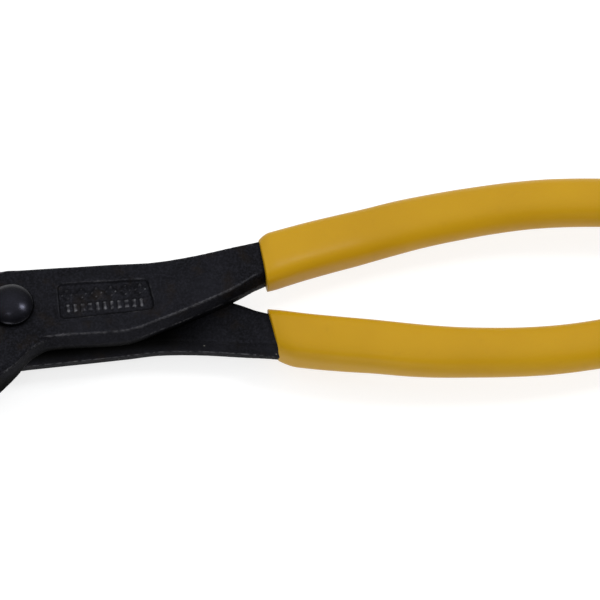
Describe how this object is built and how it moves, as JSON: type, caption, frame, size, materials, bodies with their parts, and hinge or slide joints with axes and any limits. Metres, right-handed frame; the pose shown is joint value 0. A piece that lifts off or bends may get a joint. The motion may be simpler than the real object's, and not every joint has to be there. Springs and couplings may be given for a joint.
{
  "type": "running pliers",
  "caption": "Glass-running pliers: two black forged levers crossed on a domed rivet, dipped vinyl grips, wide padded jaws and an adjusting screw.",
  "frame": {"origin": "middle of the tool's bounding box in X and Y, on the plane of the jaws' lower side faces in Z", "axes": "+X from the jaws to the handle ends, the tool's longest way; the jaws open along Y, with the adjusting screw's head at +Y; +Z along the rivet, from its closed end to its dome"},
  "size_m": [0.2056, 0.0576, 0.0254],
  "materials": {
    "black_steel": "blackened forged steel, satin, with worn edges",
    "yellow_vinyl": "dipped soft vinyl, semi-gloss",
    "black_rubber": "matt moulded rubber",
    "zinc_steel": "bright zinc plate",
    "white_nylon": "turned nylon"
  },
  "bodies": {
    "rear_side": {"rear_lever": "black_steel", "lower_grip": "yellow_vinyl", "upper_jaw_pad": "black_rubber", "pivot_rivet": "black_steel"},
    "front_side": {"front_lever": "black_steel", "upper_grip": "yellow_vinyl", "lower_jaw_pad": "black_rubber"},
    "tip": {"screw_tip": "white_nylon"},
    "screw": {"adjusting_screw": "zinc_steel"},
    "nut": {"lock_nut": "zinc_steel"}
  },
  "joints": [
    {"name": "jaw_hinge", "type": "hinge", "parent": "rear_side", "child": "front_side", "pos_m": [-0.05917, -0.00311, 0.0127], "axis": [0, 0, 1], "range_deg": [-2.5, 20]},
    {"name": "screw_travel", "type": "slide", "parent": "rear_side", "child": "tip", "axis": [0, 1, 0], "range_m": [0, 0.0031]},
    {"name": "screw_turn", "type": "hinge", "parent": "tip", "child": "screw", "pos_m": [-0.07967, 0.01, 0.0127], "axis": [0, 1, 0], "range_deg": [0, 1080]},
    {"name": "lock_nut_turn", "type": "hinge", "parent": "rear_side", "child": "nut", "pos_m": [-0.07967, 0.02, 0.0127], "axis": [0, 1, 0], "range_deg": [0, 60]}
  ],
  "couplings": [
    {"joint": "screw_travel", "follows": "screw_turn", "m_per_rad": 0.00015915}
  ]
}
